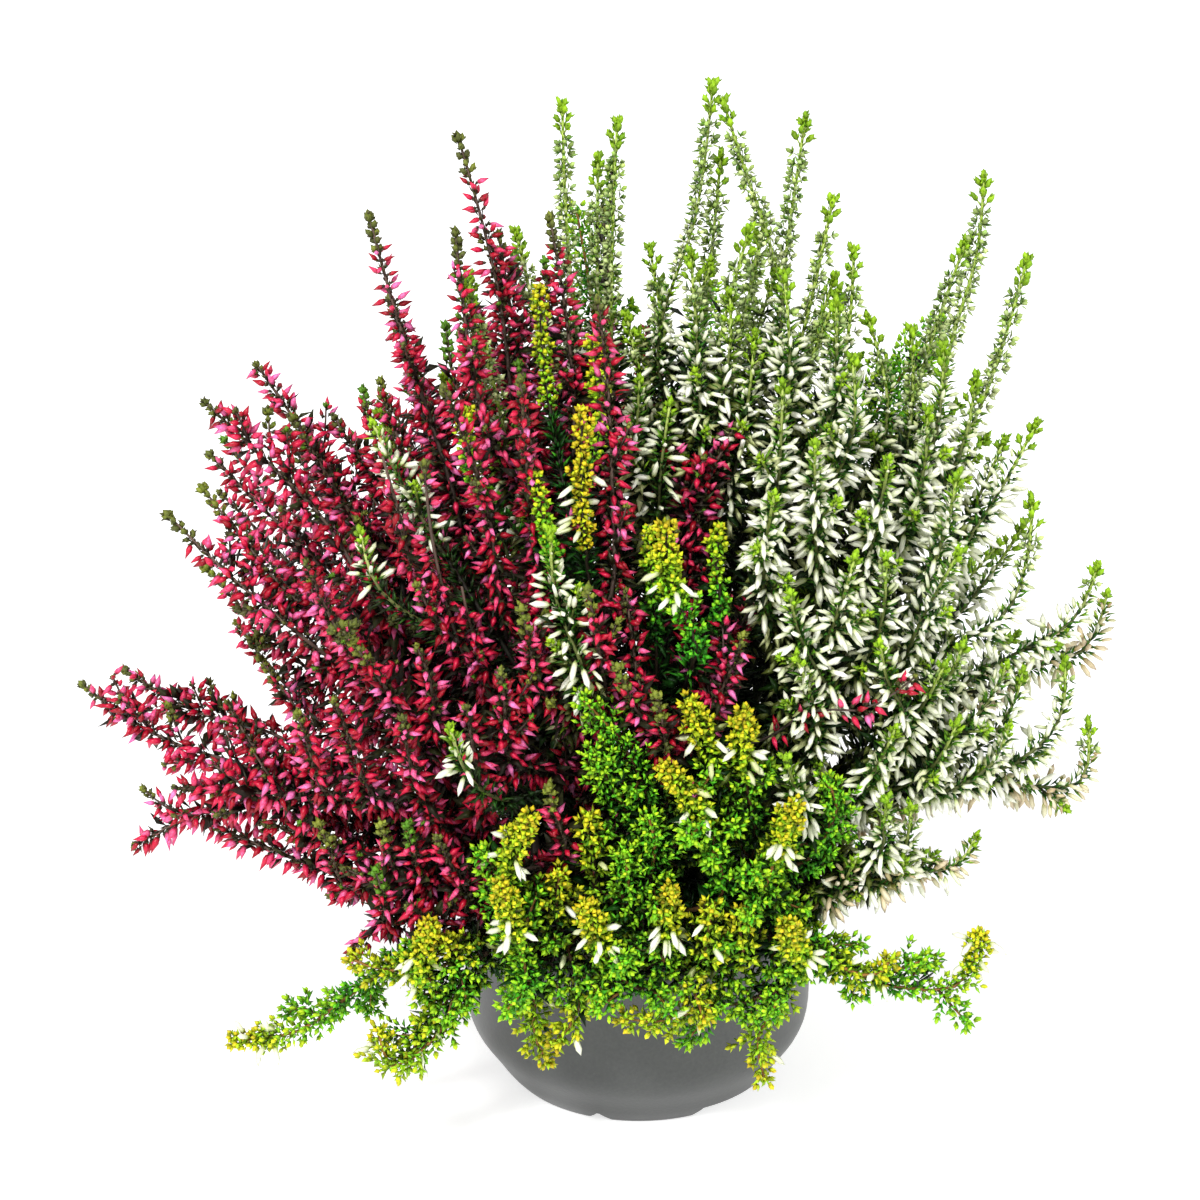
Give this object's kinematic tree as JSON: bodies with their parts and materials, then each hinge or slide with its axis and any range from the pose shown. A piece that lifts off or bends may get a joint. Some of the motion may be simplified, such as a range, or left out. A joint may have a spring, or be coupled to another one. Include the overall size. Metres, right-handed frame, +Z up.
{
  "type": "potted heather",
  "caption": "Potted bud heather: crimson, white and golden flowering shoots growing together from peat in a round grey plastic bowl with drainage notches in its foot.",
  "frame": {"origin": "middle of the whole plant's box at the surface that the bowl stands on; the bowl's own axis is 14 mm to the right of it and 4 mm in front", "axes": "+Z up, -Y to the front (the side of the picture), +X to the right seen from the front; the plant is wider along X than along Y"},
  "size_m": [0.3282, 0.2202, 0.3321],
  "materials": {
    "bowl_plastic": "satin, faintly speckled grey",
    "peat": "crumbly dark brown potting soil",
    "crimson_shoots": "closed crimson buds and dark olive scale leaves on brown stems",
    "white_shoots": "closed ivory buds and bright green scale leaves on yellow-green stems",
    "golden_shoots": "golden to lime green scale leaves on orange-tan stems, with a few white buds"
  },
  "bodies": {
    "root": {"bowl_pot": "bowl_plastic", "potting_soil": "peat", "crimson_branch_01": "crimson_shoots", "crimson_branch_02": "crimson_shoots", "crimson_branch_03": "crimson_shoots", "crimson_branch_04": "crimson_shoots", "crimson_branch_05": "crimson_shoots", "crimson_branch_06": "crimson_shoots", "crimson_branch_07": "crimson_shoots", "crimson_branch_08": "crimson_shoots", "crimson_branch_09": "crimson_shoots", "crimson_branch_10": "crimson_shoots", "crimson_branch_11": "crimson_shoots", "crimson_branch_12": "crimson_shoots", "crimson_branch_13": "crimson_shoots", "crimson_branch_14": "crimson_shoots", "crimson_branch_15": "crimson_shoots", "crimson_branch_16": "crimson_shoots", "crimson_branch_17": "crimson_shoots", "crimson_branch_18": "crimson_shoots", "crimson_branch_19": "crimson_shoots", "white_branch_01": "white_shoots", "white_branch_02": "white_shoots", "white_branch_03": "white_shoots", "white_branch_04": "white_shoots", "white_branch_05": "white_shoots", "white_branch_06": "white_shoots", "white_branch_07": "white_shoots", "white_branch_08": "white_shoots", "white_branch_09": "white_shoots", "white_branch_10": "white_shoots", "white_branch_11": "white_shoots", "white_branch_12": "white_shoots", "white_branch_13": "white_shoots", "white_branch_14": "white_shoots", "white_branch_15": "white_shoots", "white_branch_16": "white_shoots", "white_branch_17": "white_shoots", "white_branch_18": "white_shoots", "white_branch_19": "white_shoots", "white_branch_20": "white_shoots", "white_branch_21": "white_shoots", "golden_branch_01": "golden_shoots", "golden_branch_02": "golden_shoots", "golden_branch_03": "golden_shoots", "golden_branch_04": "golden_shoots", "golden_branch_05": "golden_shoots", "golden_branch_06": "golden_shoots", "golden_branch_07": "golden_shoots", "golden_branch_08": "golden_shoots", "golden_branch_09": "golden_shoots", "golden_branch_10": "golden_shoots", "golden_branch_11": "golden_shoots", "golden_branch_12": "golden_shoots", "golden_branch_13": "golden_shoots", "golden_branch_14": "golden_shoots"}
  },
  "joints": []
}
